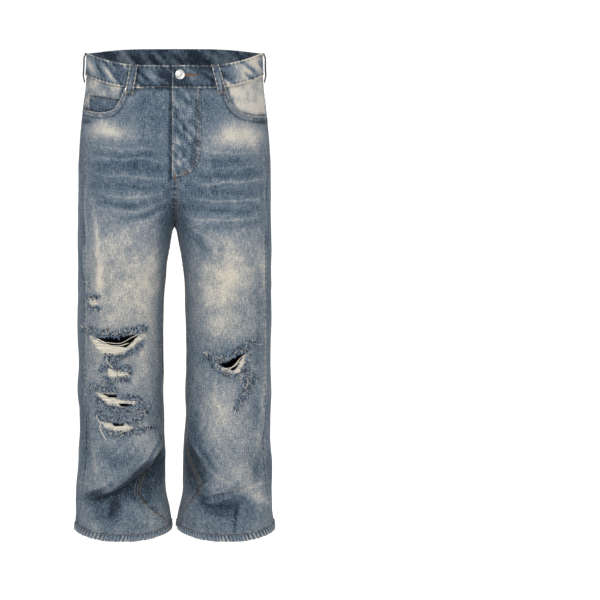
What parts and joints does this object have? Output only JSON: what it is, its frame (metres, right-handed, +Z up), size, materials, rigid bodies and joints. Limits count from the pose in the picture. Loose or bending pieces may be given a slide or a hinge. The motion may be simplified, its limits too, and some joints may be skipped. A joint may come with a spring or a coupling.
{
  "type": "ripped wide-leg jeans",
  "caption": "Hollow upright pair of faded, ripped wide-leg denim jeans with open waist and hems, fly, pockets, belt loops and a bare leather patch.",
  "frame": {"origin": "middle of the waist, level with the waistband's middle at the side seams, where a wearer's waist holds the jeans", "axes": "+Z up, towards the waist opening; the front faces -Y; +X is the wearer's left"},
  "size_m": [0.4254, 0.2482, 1.021],
  "materials": {
    "denim": "washed twill, faded and whiskered, cream where worn through",
    "denim_inside": "unfaded facing and band cloth",
    "leather": "plain smooth tan",
    "metal": "satin silver"
  },
  "bodies": {
    "root": {"front_panel_left": "denim", "front_panel_right": "denim", "back_panel_left": "denim", "back_panel_right": "denim", "yoke_left": "denim", "yoke_right": "denim", "pocket_facing_left": "denim_inside", "pocket_facing_right": "denim_inside", "back_pocket_left": "denim", "back_pocket_right": "denim", "hem_left": "denim", "hem_right": "denim", "coin_pocket": "denim", "fly": "denim", "waistband": "denim", "belt_loop_front_left": "denim", "belt_loop_front_right": "denim", "belt_loop_side_left": "denim", "belt_loop_side_right": "denim", "belt_loop_back": "denim", "leather_patch": "leather", "button": "metal", "rivet_left": "metal", "rivet_right": "metal"}
  },
  "joints": []
}
